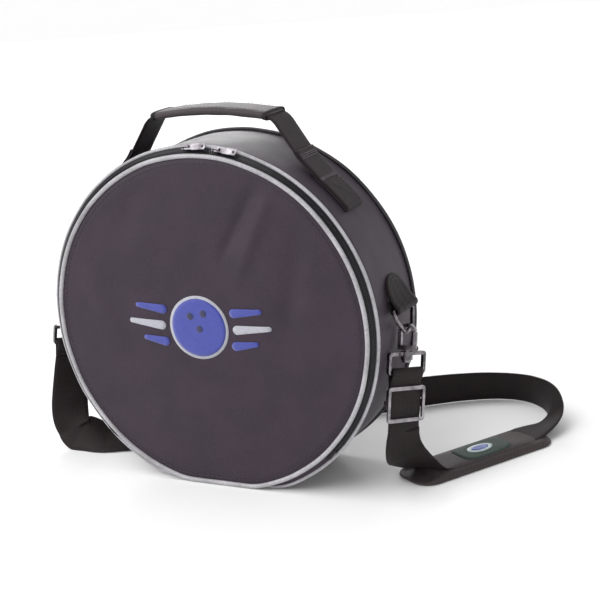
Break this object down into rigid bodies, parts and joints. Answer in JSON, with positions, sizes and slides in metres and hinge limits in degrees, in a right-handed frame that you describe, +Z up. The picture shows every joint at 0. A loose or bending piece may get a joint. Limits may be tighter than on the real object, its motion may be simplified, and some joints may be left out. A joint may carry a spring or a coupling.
{
  "type": "bowling ball bag",
  "caption": "Round upright zip bag of black nylon with grey piping, padded faces, a webbing top handle and a detachable clip-on shoulder strap with a sliding pad.",
  "frame": {"origin": "on the floor, under the axis of the round drum and half way through its depth", "axes": "+Z up, +Y towards the back panel (the lid faces -Y), +X to the right seen from the front"},
  "size_m": [0.4848, 0.2976, 0.3598],
  "materials": {
    "shell_fabric": "woven ripstop nylon, matt charcoal",
    "lining_fabric": "thin plain woven lining",
    "foam": "closed-cell foam padding",
    "piping": "silver-grey coated piping",
    "back_piping_fabric": "dark coated piping",
    "zip_tape": "woven tape",
    "zip_teeth": "moulded teeth",
    "zip_metal": "nickel plated",
    "webbing": "flat woven webbing",
    "grip": "soft grey-brown wrap",
    "hook_metal": "dark bright plating",
    "slide_metal": "light nickel",
    "pad_fabric": "soft padded cover",
    "badge": "printed oval",
    "emblem_thread": "raised light-grey embroidery"
  },
  "bodies": {
    "bag_body": {"gusset_shell": "shell_fabric", "gusset_foam": "foam", "gusset_lining": "lining_fabric", "back_panel": "shell_fabric", "back_foam": "foam", "back_lining": "lining_fabric", "body_piping": "piping", "back_piping": "back_piping_fabric", "lid_hinge_strip": "shell_fabric", "body_zip_tape": "zip_tape", "body_zip_teeth": "zip_teeth", "zip_stops": "zip_metal", "handle_anchor_left": "webbing", "handle_anchor_right": "webbing", "ring_tab_left": "webbing", "ring_tab_right": "webbing", "swivel_loop_left": "hook_metal", "swivel_loop_right": "hook_metal", "shoulder_strap": "webbing", "strap_fixed_end": "webbing", "strap_adjust_end": "webbing"},
    "front_lid": {"front_panel": "shell_fabric", "front_foam": "foam", "front_lining": "lining_fabric", "front_piping": "piping", "lid_zip_tape": "zip_tape", "lid_zip_teeth": "zip_teeth", "emblem": "emblem_thread"},
    "slider_left": {"zip_slider_left": "zip_metal"},
    "slider_right": {"zip_slider_right": "zip_metal"},
    "pull_left": {"zip_pull_left": "zip_metal"},
    "pull_right": {"zip_pull_right": "zip_metal"},
    "carry_handle": {"handle_webbing": "webbing", "handle_grip": "grip", "grip_foam": "foam"},
    "ring_left": {"d_ring_left": "hook_metal"},
    "ring_right": {"d_ring_right": "hook_metal"},
    "hook_left": {"snap_hook_left": "hook_metal"},
    "hook_right": {"snap_hook_right": "hook_metal"},
    "gate_left": {"hook_gate_left": "hook_metal"},
    "gate_right": {"hook_gate_right": "hook_metal"},
    "strap_adjuster": {"strap_slide": "slide_metal", "strap_tail": "webbing"},
    "padded_sleeve": {"shoulder_pad": "pad_fabric", "pad_foam": "foam", "pad_badge": "badge"}
  },
  "joints": [
    {"name": "lid_opening", "type": "hinge", "parent": "bag_body", "child": "front_lid", "pos_m": [0, -0.051, 0.0022], "axis": [1, 0, 0], "range_deg": [0, 86], "deforming": ["lid_hinge_strip"]},
    {"name": "slider_left_run", "type": "hinge", "parent": "bag_body", "child": "slider_left", "pos_m": [0, 0, 0.16], "axis": [0, 1, 0], "range_deg": [-128, 0]},
    {"name": "slider_right_run", "type": "hinge", "parent": "bag_body", "child": "slider_right", "pos_m": [0, 0, 0.16], "axis": [0, 1, 0], "range_deg": [0, 121.5]},
    {"name": "pull_left_flip", "type": "hinge", "parent": "slider_left", "child": "pull_left", "pos_m": [-0.00643, -0.05055, 0.32984], "axis": [0.027, -0.6343, -0.7726], "range_deg": [0, 170]},
    {"name": "pull_right_flip", "type": "hinge", "parent": "slider_right", "child": "pull_right", "pos_m": [0.02463, -0.05055, 0.32817], "axis": [-0.1143, -0.6343, -0.7646], "range_deg": [0, 170]},
    {"name": "handle_swing", "type": "hinge", "parent": "bag_body", "child": "carry_handle", "pos_m": [0, 0.004, 0.297], "axis": [1, 0, 0], "range_deg": [-30, 30], "deforming": ["handle_webbing"]},
    {"name": "ring_left_swing", "type": "hinge", "parent": "bag_body", "child": "ring_left", "pos_m": [-0.175, 0.004, 0.175], "axis": [0, 1, 0], "range_deg": [-2, 2]},
    {"name": "ring_right_swing", "type": "hinge", "parent": "bag_body", "child": "ring_right", "pos_m": [0.175, 0.004, 0.175], "axis": [0, 1, 0], "range_deg": [-2, 2]},
    {"name": "hook_left_swivel", "type": "hinge", "parent": "bag_body", "child": "hook_left", "pos_m": [-0.1851, 0.004, 0.15199], "axis": [0.1736, 0, 0.9848], "range_deg": [-10, 10]},
    {"name": "hook_right_swivel", "type": "hinge", "parent": "bag_body", "child": "hook_right", "pos_m": [0.18053, 0.001, 0.15048], "axis": [0.0171, 0.2079, 0.978], "range_deg": [-10, 10]},
    {"name": "gate_left_open", "type": "hinge", "parent": "hook_left", "child": "gate_left", "pos_m": [-0.195, 0.004, 0.13962], "axis": [0, 1, 0], "range_deg": [0, 18], "stiffness_Nm_per_rad": 0.02, "springref_deg": -17.19},
    {"name": "gate_right_open", "type": "hinge", "parent": "hook_right", "child": "gate_right", "pos_m": [0.18789, -0.00189, 0.13676], "axis": [0.0036, -0.9781, 0.2079], "range_deg": [0, 18], "stiffness_Nm_per_rad": 0.02, "springref_deg": -17.19},
    {"name": "strap_length", "type": "slide", "parent": "bag_body", "child": "strap_adjuster", "axis": [0.0171, 0.2079, 0.978], "range_m": [-0.006, 0.004]},
    {"name": "pad_along_strap", "type": "slide", "parent": "bag_body", "child": "padded_sleeve", "axis": [0.5358, 0.8443, 0], "range_m": [-0.008, 0.007]}
  ]
}
